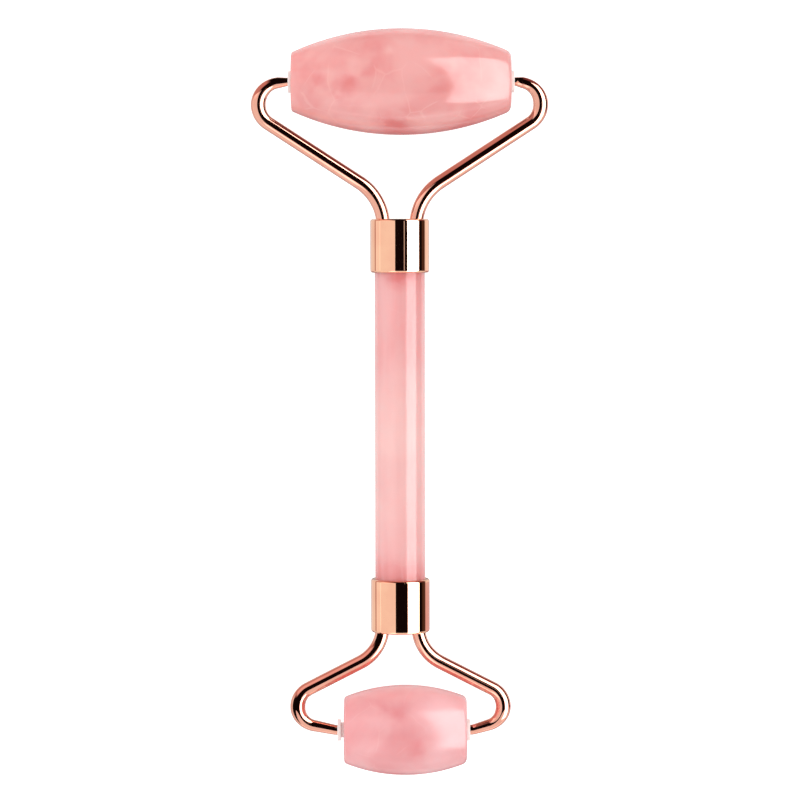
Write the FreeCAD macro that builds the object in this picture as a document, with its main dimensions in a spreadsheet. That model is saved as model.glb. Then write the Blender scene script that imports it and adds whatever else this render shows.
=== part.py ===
import math
import os

import FreeCAD
import Part
import Sketcher

# Dual-ended face roller: a stone rod for a handle, a polished metal ferrule on each end of it,
# two bent wire arms out of each ferrule, and a barrel-shaped stone roller that spins between
# the tips of each pair of arms.
#
# Frame, in millimetres: the handle lies along Y with the large head towards +Y, both roller axes
# lie along X, +Z is up. The large roller touches the plane z = 0, and the origin is on that plane,
# half-way between the far sides of the two rollers.

Vector = FreeCAD.Vector

SHEET_ROWS = [
    # The whole object
    ("overall_length", 145.0, "far side of the large roller to the far side of the small one"),
    # Stone rod
    ("grip_diameter", 9.7, "stone rod"),
    ("grip_insert", 6.2, "length of rod held inside each ferrule"),
    ("grip_chamfer", 0.4, "chamfer on the rod's ends"),
    # Ferrules
    ("ferrule_diameter", 11.4, "outside of the ferrule"),
    ("ferrule_length", 10.35, "closed end to mouth"),
    ("ferrule_bore", 9.9, "socket for the rod"),
    ("ferrule_end_wall", 3.0, "thickness of the closed end"),
    ("ferrule_edge_radius", 0.45, "rounding of both outer rims"),
    ("mouth_chamfer", 0.15, "chamfer round the socket's mouth"),
    ("adhesive_recess", 0.5, "the adhesive stops this far inside the mouth"),
    # How the arms are held in a ferrule
    ("arm_stickout", 0.7, "arm end, past the inside of the closed end"),
    ("arm_hole_gap", 0.02, "radial gap between an arm and its hole"),
    ("braze_thickness", 0.4, "braze pooled on the inside of the closed end"),
    # Flanged bushes
    ("flange_diameter", 4.2, "bush flange"),
    ("flange_thickness", 0.65, "bush flange"),
    ("flange_edge_radius", 0.15, "rounding of the flange"),
    ("sleeve_diameter", 2.9, "bush sleeve, and the bore through each stone"),
    ("sleeve_length", 5.0, "bush sleeve behind the stone's end face"),
    ("running_gap", 0.05, "radial gap between a journal and its bush"),
    ("end_gap", 0.1, "gap between a bush flange and the start of the thicker wire"),
    ("journal_length", 4.2, "thin straight tip of each arm"),
    ("journal_bend_radius", 3.0, "slight bend that brings the tip onto the roller axis"),
    # Large head
    ("large_stone_length", 42.4, "large roller"),
    ("large_stone_diameter", 20.5, "large roller at its middle"),
    ("large_stone_end_diameter", 11.3, "large roller at its end faces"),
    ("large_left_edge_radius", 0.5, "rounding of the large roller's left end"),
    ("large_right_edge_radius", 1.5, "rounding of the large roller's right end"),
    ("large_side_shift", 0.33, "large roller's middle, right of the handle's axis"),
    ("large_left_bush_proud", 0.0, "bush neck that shows between flange and stone"),
    ("large_right_bush_proud", 0.0, "bush neck that shows between flange and stone"),
    ("large_reach", 26.48, "ferrule's closed end to the roller axis"),
    ("large_arm_spacing", 6.36, "between the two arms where they leave the ferrule"),
    ("large_shoulder_radius", 10.1, "bend above the ferrule"),
    ("large_arm_slope", 33.0, "straight part of the arm, from the roller axis, in degrees"),
    ("large_bend_offset", 23.0, "centre of the end bend, from the handle's axis"),
    ("large_bend_drop", 4.41, "centre of the end bend, below the roller axis"),
    ("large_bend_radius", 4.27, "end bend, at the wire's centre line"),
    ("large_wire", 2.66, "wire diameter of the straight part"),
    ("large_wire_bend", 2.92, "wire diameter half-way round the end bend"),
    ("large_wire_neck", 2.15, "wire diameter at the end of the end bend"),
    ("large_journal", 1.65, "wire diameter inside the bush"),
    # Small head
    ("small_stone_length", 23.9, "small roller"),
    ("small_stone_diameter", 17.5, "small roller at its middle"),
    ("small_stone_end_diameter", 12.8, "small roller at its end faces"),
    ("small_left_edge_radius", 0.8, "rounding of the small roller's left end"),
    ("small_right_edge_radius", 1.2, "rounding of the small roller's right end"),
    ("small_side_shift", 0.95, "small roller's middle, right of the handle's axis"),
    ("small_left_bush_proud", 0.65, "bush neck that shows between flange and stone"),
    ("small_right_bush_proud", 0.0, "bush neck that shows between flange and stone"),
    ("small_reach", 19.33, "ferrule's closed end to the roller axis"),
    ("small_arm_spacing", 6.96, "between the two arms where they leave the ferrule"),
    ("small_shoulder_radius", 7.9, "bend below the ferrule"),
    ("small_arm_slope", 27.1, "straight part of the arm, from the roller axis, in degrees"),
    ("small_bend_offset", 16.2, "centre of the end bend, from the handle's axis"),
    ("small_bend_drop", 4.65, "centre of the end bend, above the roller axis"),
    ("small_bend_radius", 3.85, "end bend, at the wire's centre line"),
    ("small_wire", 2.68, "wire diameter of the straight part"),
    ("small_wire_bend", 2.95, "wire diameter half-way round the end bend"),
    ("small_wire_neck", 2.25, "wire diameter at the end of the end bend"),
    ("small_journal", 1.95, "wire diameter inside the bush"),
]
SIZE = {alias: value for alias, value, meaning in SHEET_ROWS}

doc = FreeCAD.newDocument("face_roller")
sheet = doc.addObject("Spreadsheet::Sheet", "sizes")
for row, (alias, value, meaning) in enumerate(SHEET_ROWS, start=1):
    sheet.set(f"A{row}", meaning)
    sheet.set(f"B{row}", str(value))
    sheet.setAlias(f"B{row}", alias)
doc.recompute()

# Where things sit, as expressions of the sheet's cells
AXIS_HEIGHT = "sizes.large_stone_diameter / 2"
LARGE_AXIS_Y = "(sizes.overall_length - sizes.large_stone_diameter) / 2"
SMALL_AXIS_Y = "(sizes.small_stone_diameter - sizes.overall_length) / 2"
LARGE_FERRULE_END_Y = f"{LARGE_AXIS_Y} - sizes.large_reach"
SMALL_FERRULE_END_Y = f"{SMALL_AXIS_Y} + sizes.small_reach"
GRIP_MIDDLE_Y = f"({LARGE_FERRULE_END_Y} + {SMALL_FERRULE_END_Y}) / 2"
GRIP_LENGTH = (f"{LARGE_FERRULE_END_Y} - ({SMALL_FERRULE_END_Y})"
               " - 2 * sizes.ferrule_length + 2 * sizes.grip_insert")

HALF_TURN = FreeCAD.Rotation(Vector(0, 0, 1), 180)
NO_TURN = FreeCAD.Rotation()

# A head's own frame: origin on the ferrule's closed end, +Y towards the roller. The small head is
# the same frame turned half-way round, so its left-hand side is at +X of its own frame.
HEADS = {
    "large": {"end_y": LARGE_FERRULE_END_Y, "axis_y": LARGE_AXIS_Y, "turn": NO_TURN, "right": 1},
    "small": {"end_y": SMALL_FERRULE_END_Y, "axis_y": SMALL_AXIS_Y, "turn": HALF_TURN, "right": -1},
}
SIDES = {"left": -1, "right": 1}


def new_body(label, x, y, turn):
    """An empty body whose own origin lies at x, y (expressions) at the height of the axes."""
    body = doc.addObject("PartDesign::Body", label)
    body.Label = label
    body.Placement = FreeCAD.Placement(Vector(0, 0, 0), turn)
    body.setExpression("Placement.Base.x", x)
    body.setExpression("Placement.Base.y", y)
    body.setExpression("Placement.Base.z", AXIS_HEIGHT)
    return body


def origin_plane(body, role):
    """One of the body's own origin planes."""
    return next(feature for feature in body.Origin.OriginFeatures if feature.Role == role)


def new_sketch(body, name, role="XY_Plane"):
    """An empty sketch on one of the body's origin planes."""
    sketch = body.newObject("Sketcher::SketchObject", name)
    sketch.AttachmentSupport = (origin_plane(body, role), [""])
    sketch.MapMode = "FlatFace"
    return sketch


def bind(sketch, name, expression, *constraint):
    """Add a dimension to the sketch and tie it to the sheet."""
    index = sketch.addConstraint(Sketcher.Constraint(*constraint))
    sketch.renameConstraint(index, name)
    sketch.setExpression(f"Constraints.{name}", expression)


def closed_outline(sketch, corners):
    """Straight lines round the corners, each upright or level, joined end to end."""
    count = len(corners)
    for index, corner in enumerate(corners):
        following = corners[(index + 1) % count]
        sketch.addGeometry(Part.LineSegment(Vector(*corner, 0), Vector(*following, 0)), False)
    for index, corner in enumerate(corners):
        following = corners[(index + 1) % count]
        direction = "Vertical" if corner[0] == following[0] else "Horizontal"
        sketch.addConstraint(Sketcher.Constraint(direction, index))
        sketch.addConstraint(Sketcher.Constraint("Coincident", index, 2, (index + 1) % count, 1))


def revolve(body, name, sketch, axis):
    """Turn the sketch right round one of its own axes."""
    feature = body.newObject("PartDesign::Revolution", name)
    feature.Profile = sketch
    feature.ReferenceAxis = (sketch, [axis])
    feature.Angle = 360
    return feature


def circle_edges(feature, radius, along, place):
    """Names of the feature's round edges of this radius whose centre is at this place."""
    names = []
    for index, edge in enumerate(feature.Shape.Edges, start=1):
        if not isinstance(edge.Curve, Part.Circle):
            continue
        same_radius = abs(edge.Curve.Radius - radius) < 1e-4
        same_place = abs(edge.Curve.Center.dot(along) - place) < 1e-4
        if same_radius and same_place:
            names.append(f"Edge{index}")
    return names


def round_edges(body, name, feature, edges, expression, kind="Fillet"):
    """Fillet or chamfer these edges of a feature by a size from the sheet."""
    dressing = body.newObject(f"PartDesign::{kind}", name)
    dressing.Base = (feature, edges)
    dressing.setExpression("Radius" if kind == "Fillet" else "Size", expression)
    return dressing


# Stone rod

def make_handle():
    """Plain round rod, chamfered at both ends, which sit inside the ferrules."""
    body = new_body("handle_rod", "0", GRIP_MIDDLE_Y, NO_TURN)
    sketch = new_sketch(body, "handle_section", "XZ_Plane")
    radius = SIZE["grip_diameter"] / 2
    sketch.addGeometry(Part.Circle(Vector(0, 0, 0), Vector(0, 0, 1), radius), False)
    sketch.addConstraint(Sketcher.Constraint("Coincident", 0, 3, -1, 1))
    bind(sketch, "diameter", "sizes.grip_diameter", "Diameter", 0, 2 * radius)
    pad = body.newObject("PartDesign::Pad", "handle_length")
    pad.Profile = sketch
    pad.Midplane = True
    pad.setExpression("Length", GRIP_LENGTH)
    doc.recompute()
    ends = [f"Edge{index}" for index, edge in enumerate(pad.Shape.Edges, start=1)
            if isinstance(edge.Curve, Part.Circle)]
    round_edges(body, "handle_ends", pad, ends, "sizes.grip_chamfer", "Chamfer")
    return body


# Ferrule, the adhesive in it and the braze in it

def make_ferrule(head):
    """Cup with rounded rims; its closed end has two holes that follow the bent arms."""
    spec = HEADS[head]
    body = new_body(f"{head}_ferrule", "0", spec["end_y"], spec["turn"])
    outer = SIZE["ferrule_diameter"] / 2
    bore = SIZE["ferrule_bore"] / 2
    length = SIZE["ferrule_length"]
    wall = SIZE["ferrule_end_wall"]
    sketch = new_sketch(body, f"{head}_ferrule_outline")
    corners = [(0, 0), (outer, 0), (outer, -length), (bore, -length), (bore, -wall), (0, -wall)]
    closed_outline(sketch, corners)
    sketch.addConstraint(Sketcher.Constraint("Coincident", 0, 1, -1, 1))
    bind(sketch, "outer_radius", "sizes.ferrule_diameter / 2", "DistanceX", 0, 1, 0, 2, outer)
    bind(sketch, "length", "sizes.ferrule_length", "DistanceY", 1, 2, 1, 1, length)
    bind(sketch, "bore_radius", "sizes.ferrule_bore / 2", "DistanceX", 4, 2, 4, 1, bore)
    bind(sketch, "end_wall", "sizes.ferrule_end_wall", "DistanceY", 5, 1, 5, 2, wall)
    cup = revolve(body, f"{head}_ferrule_cup", sketch, "V_Axis")
    doc.recompute()

    rims = circle_edges(cup, outer, Vector(0, 1, 0), 0)
    rims += circle_edges(cup, outer, Vector(0, 1, 0), -length)
    rounded = round_edges(body, f"{head}_ferrule_rims", cup, rims, "sizes.ferrule_edge_radius")
    doc.recompute()
    mouth = circle_edges(rounded, bore, Vector(0, 1, 0), -length)
    round_edges(body, f"{head}_ferrule_mouth", rounded, mouth, "sizes.mouth_chamfer", "Chamfer")
    for side in SIDES:
        path = arm_path(body, f"{head}_{side}_hole_path", head, side)
        doc.recompute()
        section = wire_section(body, f"{head}_{side}_hole_section", path, "Edge1", 0,
                               f"sizes.{head}_wire + 2 * sizes.arm_hole_gap",
                               SIZE[f"{head}_wire"])
        hole = body.newObject("PartDesign::SubtractivePipe", f"{head}_{side}_hole")
        hole.Profile = section
        hole.Spine = (path, ["Edge1", "Edge2"])
    return body


def arm_pockets(body, name, head, depth):
    """Two round pockets that fit the arm ends, cut this far (an expression) from the closed end."""
    half_spacing = SIZE[f"{head}_arm_spacing"] / 2
    diameter = SIZE[f"{head}_wire"]
    sketch = new_sketch(body, f"{name}_circles", "XZ_Plane")
    for index, side in enumerate(SIDES.values()):
        centre = Vector(side * half_spacing, 0, 0)
        sketch.addGeometry(Part.Circle(centre, Vector(0, 0, 1), diameter / 2), False)
        sketch.addConstraint(Sketcher.Constraint("PointOnObject", index, 3, -1))
    sketch.addConstraint(Sketcher.Constraint("Equal", 0, 1))
    half = f"sizes.{head}_arm_spacing / 2"
    bind(sketch, "diameter", f"sizes.{head}_wire", "Diameter", 0, diameter)
    bind(sketch, "left", half, "DistanceX", 0, 3, -1, 1, half_spacing)
    bind(sketch, "right", half, "DistanceX", -1, 1, 1, 3, half_spacing)
    pocket = body.newObject("PartDesign::Pocket", name)
    pocket.Profile = sketch
    pocket.Reversed = True
    pocket.setExpression("Length", depth)


def make_braze(head):
    """Disc of braze pooled on the inside of the closed end, round both arm ends."""
    spec = HEADS[head]
    body = new_body(f"{head}_arm_braze", "0", spec["end_y"], spec["turn"])
    radius = SIZE["ferrule_bore"] / 2
    wall = SIZE["ferrule_end_wall"]
    floor = wall + SIZE["braze_thickness"]
    sketch = new_sketch(body, f"{head}_braze_outline")
    closed_outline(sketch, [(0, -wall), (radius, -wall), (radius, -floor), (0, -floor)])
    sketch.addConstraint(Sketcher.Constraint("PointOnObject", 0, 1, -2))
    bind(sketch, "wall", "sizes.ferrule_end_wall", "DistanceY", 0, 1, -1, 1, wall)
    bind(sketch, "radius", "sizes.ferrule_bore / 2", "DistanceX", 0, 1, 0, 2, radius)
    bind(sketch, "thickness", "sizes.braze_thickness", "DistanceY", 1, 2, 1, 1, floor - wall)
    revolve(body, f"{head}_braze_disc", sketch, "V_Axis")
    arm_pockets(body, f"{head}_braze_holes", head, "sizes.ferrule_end_wall + sizes.arm_stickout")
    return body


def make_adhesive(head):
    """Cured adhesive that fills the cup between braze, arm ends and rod."""
    spec = HEADS[head]
    body = new_body(f"{head}_ferrule_adhesive", "0", spec["end_y"], spec["turn"])
    outer = SIZE["ferrule_bore"] / 2
    inner = SIZE["grip_diameter"] / 2
    top = SIZE["ferrule_end_wall"] + SIZE["braze_thickness"]
    rod_end = SIZE["ferrule_length"] - SIZE["grip_insert"]
    stop = SIZE["ferrule_length"] - SIZE["adhesive_recess"]
    sketch = new_sketch(body, f"{head}_adhesive_outline")
    corners = [(0, -top), (outer, -top), (outer, -stop), (inner, -stop), (inner, -rod_end),
               (0, -rod_end)]
    closed_outline(sketch, corners)
    sketch.addConstraint(Sketcher.Constraint("PointOnObject", 0, 1, -2))
    bind(sketch, "top", "sizes.ferrule_end_wall + sizes.braze_thickness",
         "DistanceY", 0, 1, -1, 1, top)
    bind(sketch, "outer_radius", "sizes.ferrule_bore / 2", "DistanceX", 0, 1, 0, 2, outer)
    bind(sketch, "inner_radius", "sizes.grip_diameter / 2", "DistanceX", 4, 2, 4, 1, inner)
    bind(sketch, "stop", "sizes.ferrule_length - sizes.adhesive_recess",
         "DistanceY", 2, 2, -1, 1, stop)
    bind(sketch, "rod_end", "sizes.ferrule_length - sizes.grip_insert",
         "DistanceY", 4, 2, -1, 1, rod_end)
    revolve(body, f"{head}_adhesive_cup", sketch, "V_Axis")
    arm_pockets(body, f"{head}_adhesive_pockets", head,
                "sizes.ferrule_end_wall + sizes.arm_stickout")
    return body


# Bent wire arms

def journal_start(head, side):
    """Where an arm's thin tip begins, from the handle's axis: the length and its expression."""
    sign = SIDES[side]
    length = (SIZE[f"{head}_stone_length"] / 2 + sign * SIZE[f"{head}_side_shift"]
              + SIZE[f"{head}_{side}_bush_proud"] + SIZE["flange_thickness"] + SIZE["end_gap"])
    expression = (f"sizes.{head}_stone_length / 2 + {sign} * sizes.{head}_side_shift"
                  f" + sizes.{head}_{side}_bush_proud + sizes.flange_thickness + sizes.end_gap")
    return length, expression


def arc_between(centre, radius, start, end):
    """The shorter arc about a centre from one point to another."""
    first = math.atan2(start.y - centre.y, start.x - centre.x)
    last = math.atan2(end.y - centre.y, end.x - centre.x)
    sweep = (last - first + math.pi) % (2 * math.pi) - math.pi
    if sweep < 0:
        first, sweep = last, -sweep
    circle = Part.Circle(centre, Vector(0, 0, 1), radius)
    return Part.ArcOfCircle(circle, first, first + sweep)


def outer_tangent(centre, radius, next_centre, next_radius):
    """Points where one straight line touches two bends that turn the same way."""
    apart = next_centre - centre
    bearing = math.atan2(apart.y, apart.x)
    lean = math.acos((radius - next_radius) / apart.Length)
    normal = Vector(math.cos(bearing - lean), math.sin(bearing - lean), 0)
    return centre + normal * radius, next_centre + normal * next_radius


def arm_path(body, name, head, side):
    """Centre line of an arm: inside the closed end, shoulder, straight, end bend in two halves,
    short straight, slight bend, journal. It starts inside the ferrule."""
    start_length, start_expression = journal_start(head, side)
    reach = SIZE[f"{head}_reach"]
    half_spacing = SIZE[f"{head}_arm_spacing"] / 2
    slope = math.radians(SIZE[f"{head}_arm_slope"])
    shoulder_radius = SIZE[f"{head}_shoulder_radius"]
    bend_radius = SIZE[f"{head}_bend_radius"]
    tip_radius = SIZE["journal_bend_radius"]
    inside = SIZE["ferrule_end_wall"] + SIZE["arm_stickout"]

    # First solution, on the +X side: centres of the bends, then the points where they meet lines
    bend = Vector(SIZE[f"{head}_bend_offset"], reach - SIZE[f"{head}_bend_drop"], 0)
    out = Vector(math.cos(slope), math.sin(slope), 0)
    away = Vector(math.sin(slope), -math.cos(slope), 0)
    bend_start = bend + away * bend_radius
    shoulder_x = half_spacing + shoulder_radius
    run = (bend_start.x + away.x * shoulder_radius - shoulder_x) / out.x
    shoulder_end = bend_start - out * run
    shoulder = shoulder_end + away * shoulder_radius
    tip_bend = Vector(start_length, reach - tip_radius, 0)
    bend_end, tip_start = outer_tangent(bend, bend_radius, tip_bend, tip_radius)
    points = [
        Vector(half_spacing, -inside, 0),
        Vector(half_spacing, shoulder.y, 0),
        shoulder_end,
        bend_start,
        bend + Vector(bend_radius, 0, 0),
        bend_end,
        tip_start,
        Vector(start_length, reach, 0),
        Vector(start_length - SIZE["journal_length"], reach, 0),
    ]
    centres = {1: shoulder, 3: bend, 4: bend, 6: tip_bend}

    # The same on the arm's own side of the head
    hand = SIDES[side] * HEADS[head]["right"]
    points = [Vector(hand * point.x, point.y, 0) for point in points]
    sketch = new_sketch(body, name)
    for index in range(len(points) - 1):
        start, end = points[index], points[index + 1]
        if index in centres:
            centre = Vector(hand * centres[index].x, centres[index].y, 0)
            sketch.addGeometry(arc_between(centre, (start - centre).Length, start, end), False)
        else:
            sketch.addGeometry(Part.LineSegment(start, end), False)
    for index in range(len(points) - 2):
        joint = points[index + 1]
        ends = [1 if sketch.getPoint(index + step, 1).distanceToPoint(joint) < 1e-6 else 2
                for step in (0, 1)]
        kind = "Coincident" if index == 3 else "Tangent"
        sketch.addConstraint(Sketcher.Constraint(kind, index, ends[0], index + 1, ends[1]))

    # Dimensions run from the handle's axis outwards, whichever side the arm is on
    def across(name, expression, geometry, place, value):
        """Distance of a point from the handle's axis."""
        if hand > 0:
            bind(sketch, name, expression, "DistanceX", -1, 1, geometry, place, value)
        else:
            bind(sketch, name, expression, "DistanceX", geometry, place, -1, 1, value)

    bend_half_end = 1 if sketch.getPoint(3, 1).distanceToPoint(points[4]) < 1e-6 else 2
    tip_end = 1 if sketch.getPoint(6, 1).distanceToPoint(points[7]) < 1e-6 else 2
    slope_value = slope if hand > 0 else math.pi - slope
    slope_expression = f"sizes.{head}_arm_slope * 1 deg"
    if hand < 0:
        slope_expression = f"180 deg - {slope_expression}"
    sketch.addConstraint(Sketcher.Constraint("Vertical", 0))
    sketch.addConstraint(Sketcher.Constraint("Horizontal", 7))
    sketch.addConstraint(Sketcher.Constraint("Coincident", 3, 3, 4, 3))
    sketch.addConstraint(Sketcher.Constraint("Horizontal", 3, 3, 3, bend_half_end))
    across("half_spacing", f"sizes.{head}_arm_spacing / 2", 0, 1, half_spacing)
    across("bend_offset", f"sizes.{head}_bend_offset", 3, 3, SIZE[f"{head}_bend_offset"])
    across("journal_start", start_expression, 6, tip_end, start_length)
    across("journal_end", f"{start_expression} - sizes.journal_length", 7, 2,
           start_length - SIZE["journal_length"])
    bind(sketch, "inside", "sizes.ferrule_end_wall + sizes.arm_stickout",
         "DistanceY", 0, 1, -1, 1, inside)
    bind(sketch, "reach", f"sizes.{head}_reach", "DistanceY", -1, 1, 7, 2, reach)
    bind(sketch, "bend_drop", f"sizes.{head}_bend_drop",
         "DistanceY", 3, 3, 7, 2, SIZE[f"{head}_bend_drop"])
    bind(sketch, "slope", slope_expression, "Angle", 2, slope_value)
    bind(sketch, "shoulder_radius", f"sizes.{head}_shoulder_radius", "Radius", 1, shoulder_radius)
    bind(sketch, "bend_radius", f"sizes.{head}_bend_radius", "Radius", 3, bend_radius)
    bind(sketch, "tip_radius", "sizes.journal_bend_radius", "Radius", 6, tip_radius)
    return sketch


def wire_section(body, name, path, edge, place, expression, diameter):
    """Round section square to one edge of the path, at its start (0) or its end (1)."""
    sketch = body.newObject("Sketcher::SketchObject", name)
    sketch.AttachmentSupport = (path, [edge])
    sketch.MapMode = "NormalToEdge"
    sketch.MapPathParameter = place
    sketch.addGeometry(Part.Circle(Vector(0, 0, 0), Vector(0, 0, 1), diameter / 2), False)
    sketch.addConstraint(Sketcher.Constraint("Coincident", 0, 3, -1, 1))
    bind(sketch, "diameter", expression, "Diameter", 0, diameter)
    return sketch


def make_arm(head, side):
    """Bent wire: even thickness up to the end bend, swelling half-way round it, then tapering
    to a thin journal that runs in the bush."""
    spec = HEADS[head]
    name = f"{head}_{side}_arm"
    body = new_body(name, "0", spec["end_y"], spec["turn"])
    path = arm_path(body, f"{name}_path", head, side)
    doc.recompute()

    def section(part, edge, place, alias):
        return wire_section(body, f"{name}_{part}", path, edge, place, f"sizes.{alias}",
                            SIZE[alias])

    shank = body.newObject("PartDesign::AdditivePipe", f"{name}_shank")
    shank.Profile = section("shank_section", "Edge1", 0, f"{head}_wire")
    shank.Spine = (path, ["Edge1", "Edge2", "Edge3"])
    doc.recompute()
    taper = body.newObject("PartDesign::AdditivePipe", f"{name}_taper")
    taper.Profile = section("taper_root", "Edge3", 1, f"{head}_wire")
    taper.Sections = [
        section("taper_middle", "Edge4", end_shared_with(path, 4, 5), f"{head}_wire_bend"),
        section("taper_neck", "Edge6", end_shared_with(path, 6, 5), f"{head}_wire_neck"),
        section("taper_tip", "Edge8", end_shared_with(path, 8, 7), f"{head}_journal"),
    ]
    taper.Spine = (path, ["Edge4", "Edge5", "Edge6", "Edge7"])
    taper.Transformation = "Multisection"
    doc.recompute()
    journal = body.newObject("PartDesign::AdditivePipe", f"{name}_journal")
    journal.Profile = section("journal_section", "Edge8", 0, f"{head}_journal")
    journal.Spine = (path, ["Edge8"])
    return body


def end_shared_with(path, edge, neighbour):
    """Whether an edge of the path meets its neighbour at its start (0) or its end (1)."""
    start = path.Shape.Edges[edge - 1].Vertexes[0].Point
    shared = [vertex.Point for vertex in path.Shape.Edges[neighbour - 1].Vertexes]
    return 0 if min(start.distanceToPoint(point) for point in shared) < 1e-6 else 1


# Stone rollers and their bushes

def make_stone(head):
    """Barrel: one arc from end to end, flat end faces, rounded rims, bored right through."""
    spec = HEADS[head]
    body = new_body(f"{head}_roller_stone", f"sizes.{head}_side_shift", spec["axis_y"], NO_TURN)
    half = SIZE[f"{head}_stone_length"] / 2
    middle = SIZE[f"{head}_stone_diameter"] / 2
    end = SIZE[f"{head}_stone_end_diameter"] / 2
    bore = SIZE["sleeve_diameter"] / 2
    crown = (half ** 2 + (middle - end) ** 2) / (2 * (middle - end))
    centre = Vector(0, middle - crown, 0)
    sketch = new_sketch(body, f"{head}_stone_outline")
    left_bore, right_bore = Vector(-half, bore, 0), Vector(half, bore, 0)
    left_end, right_end = Vector(-half, end, 0), Vector(half, end, 0)
    sketch.addGeometry(Part.LineSegment(left_bore, right_bore), False)
    sketch.addGeometry(Part.LineSegment(right_bore, right_end), False)
    sketch.addGeometry(arc_between(centre, crown, right_end, left_end), False)
    sketch.addGeometry(Part.LineSegment(left_end, left_bore), False)
    for index in range(4):
        sketch.addConstraint(Sketcher.Constraint("Coincident", index, 2, (index + 1) % 4, 1))
    sketch.addConstraint(Sketcher.Constraint("Vertical", 1))
    sketch.addConstraint(Sketcher.Constraint("PointOnObject", 2, 3, -2))
    sketch.addConstraint(Sketcher.Constraint("Vertical", 3))
    sketch.addConstraint(Sketcher.Constraint("Symmetric", 0, 1, 0, 2, -2))
    bind(sketch, "length", f"sizes.{head}_stone_length", "DistanceX", 0, 1, 0, 2, 2 * half)
    bind(sketch, "bore_radius", "sizes.sleeve_diameter / 2", "DistanceY", -1, 1, 0, 1, bore)
    bind(sketch, "end_radius", f"sizes.{head}_stone_end_diameter / 2",
         "DistanceY", -1, 1, 2, 1, end)
    crown_expression = (
        f"(sizes.{head}_stone_length ^ 2"
        f" + (sizes.{head}_stone_diameter - sizes.{head}_stone_end_diameter) ^ 2)"
        f" / (4 * (sizes.{head}_stone_diameter - sizes.{head}_stone_end_diameter))")
    bind(sketch, "crown_radius", crown_expression, "Radius", 2, crown)
    barrel = revolve(body, f"{head}_stone_barrel", sketch, "H_Axis")
    doc.recompute()
    for side, sign in SIDES.items():
        rim = circle_edges(barrel, end, Vector(1, 0, 0), sign * half)
        barrel = round_edges(body, f"{head}_stone_{side}_rim", barrel, rim,
                             f"sizes.{head}_{side}_edge_radius")
        doc.recompute()
    return body


def make_bush(head, side):
    """Flanged plastic sleeve pushed into the stone's bore; the arm's journal runs in it."""
    spec = HEADS[head]
    sign = SIDES[side]
    name = f"{head}_{side}_bush"
    end_x = f"{sign} * sizes.{head}_stone_length / 2 + sizes.{head}_side_shift"
    body = new_body(name, end_x, spec["axis_y"], NO_TURN if sign > 0 else HALF_TURN)
    bore = SIZE[f"{head}_journal"] / 2 + SIZE["running_gap"]
    sleeve = SIZE["sleeve_diameter"] / 2
    flange = SIZE["flange_diameter"] / 2
    back = SIZE["sleeve_length"]
    proud = SIZE[f"{head}_{side}_bush_proud"]
    face = proud + SIZE["flange_thickness"]
    sketch = new_sketch(body, f"{name}_outline")
    corners = [(-back, bore), (face, bore), (face, flange), (proud, flange), (proud, sleeve),
               (-back, sleeve)]
    closed_outline(sketch, corners)
    bind(sketch, "back", "sizes.sleeve_length", "DistanceX", 0, 1, -1, 1, back)
    bind(sketch, "face", f"sizes.{head}_{side}_bush_proud + sizes.flange_thickness",
         "DistanceX", -1, 1, 0, 2, face)
    bind(sketch, "flange_thickness", "sizes.flange_thickness",
         "DistanceX", 2, 2, 2, 1, face - proud)
    bind(sketch, "bore_radius", f"sizes.{head}_journal / 2 + sizes.running_gap",
         "DistanceY", -1, 1, 0, 1, bore)
    bind(sketch, "flange_radius", "sizes.flange_diameter / 2", "DistanceY", -1, 1, 2, 1, flange)
    bind(sketch, "sleeve_radius", "sizes.sleeve_diameter / 2", "DistanceY", -1, 1, 4, 1, sleeve)
    turned = revolve(body, f"{name}_turned", sketch, "H_Axis")
    doc.recompute()
    rim = circle_edges(turned, flange, Vector(1, 0, 0), face)
    round_edges(body, f"{name}_flange_rim", turned, rim, "sizes.flange_edge_radius")
    return body


def check_document():
    """Stop if any feature failed to build."""
    for item in doc.Objects:
        if "Invalid" in item.State or "Error" in item.State:
            raise RuntimeError(f"{item.Label} is {item.State}")


def export(bodies):
    """Write one STEP file for each body, named after its label."""
    for body in bodies:
        if body.Shape.isNull() or not body.Shape.isValid() or body.Shape.Volume <= 0:
            raise RuntimeError(f"{body.Label} has no sound shape")
    os.makedirs("parts", exist_ok=True)
    for body in bodies:
        body.Shape.exportStep(f"parts/{body.Label}.step")


nodes = [make_handle()]
for head in HEADS:
    nodes.append(make_ferrule(head))
    nodes.append(make_braze(head))
    nodes.append(make_adhesive(head))
    nodes.append(make_stone(head))
    for side in SIDES:
        nodes.append(make_arm(head, side))
        nodes.append(make_bush(head, side))
doc.recompute()
check_document()
export(nodes)
for body in nodes:
    print(f"{body.Label}: {len(body.Shape.Solids)} solid(s), {body.Shape.Volume:.2f} mm3")
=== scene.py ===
import math

import bmesh
import bpy
from mathutils import Matrix, Vector
from mathutils.geometry import tessellate_polygon


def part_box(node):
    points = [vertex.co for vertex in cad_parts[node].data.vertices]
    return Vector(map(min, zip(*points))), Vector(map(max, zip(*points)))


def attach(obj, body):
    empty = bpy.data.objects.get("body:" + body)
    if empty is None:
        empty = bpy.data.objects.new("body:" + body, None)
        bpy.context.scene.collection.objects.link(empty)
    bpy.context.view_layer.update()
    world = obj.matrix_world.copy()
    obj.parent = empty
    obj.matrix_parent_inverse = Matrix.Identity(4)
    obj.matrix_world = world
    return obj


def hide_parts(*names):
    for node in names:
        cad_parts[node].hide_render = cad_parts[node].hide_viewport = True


# Looks of a dual-ended rose-quartz face roller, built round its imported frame. The handle lies
# along Y, both roller axes lie along X, +Z is up. Blender's lengths are metres; the sizes here
# are millimetres, which MM turns into metres.

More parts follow.
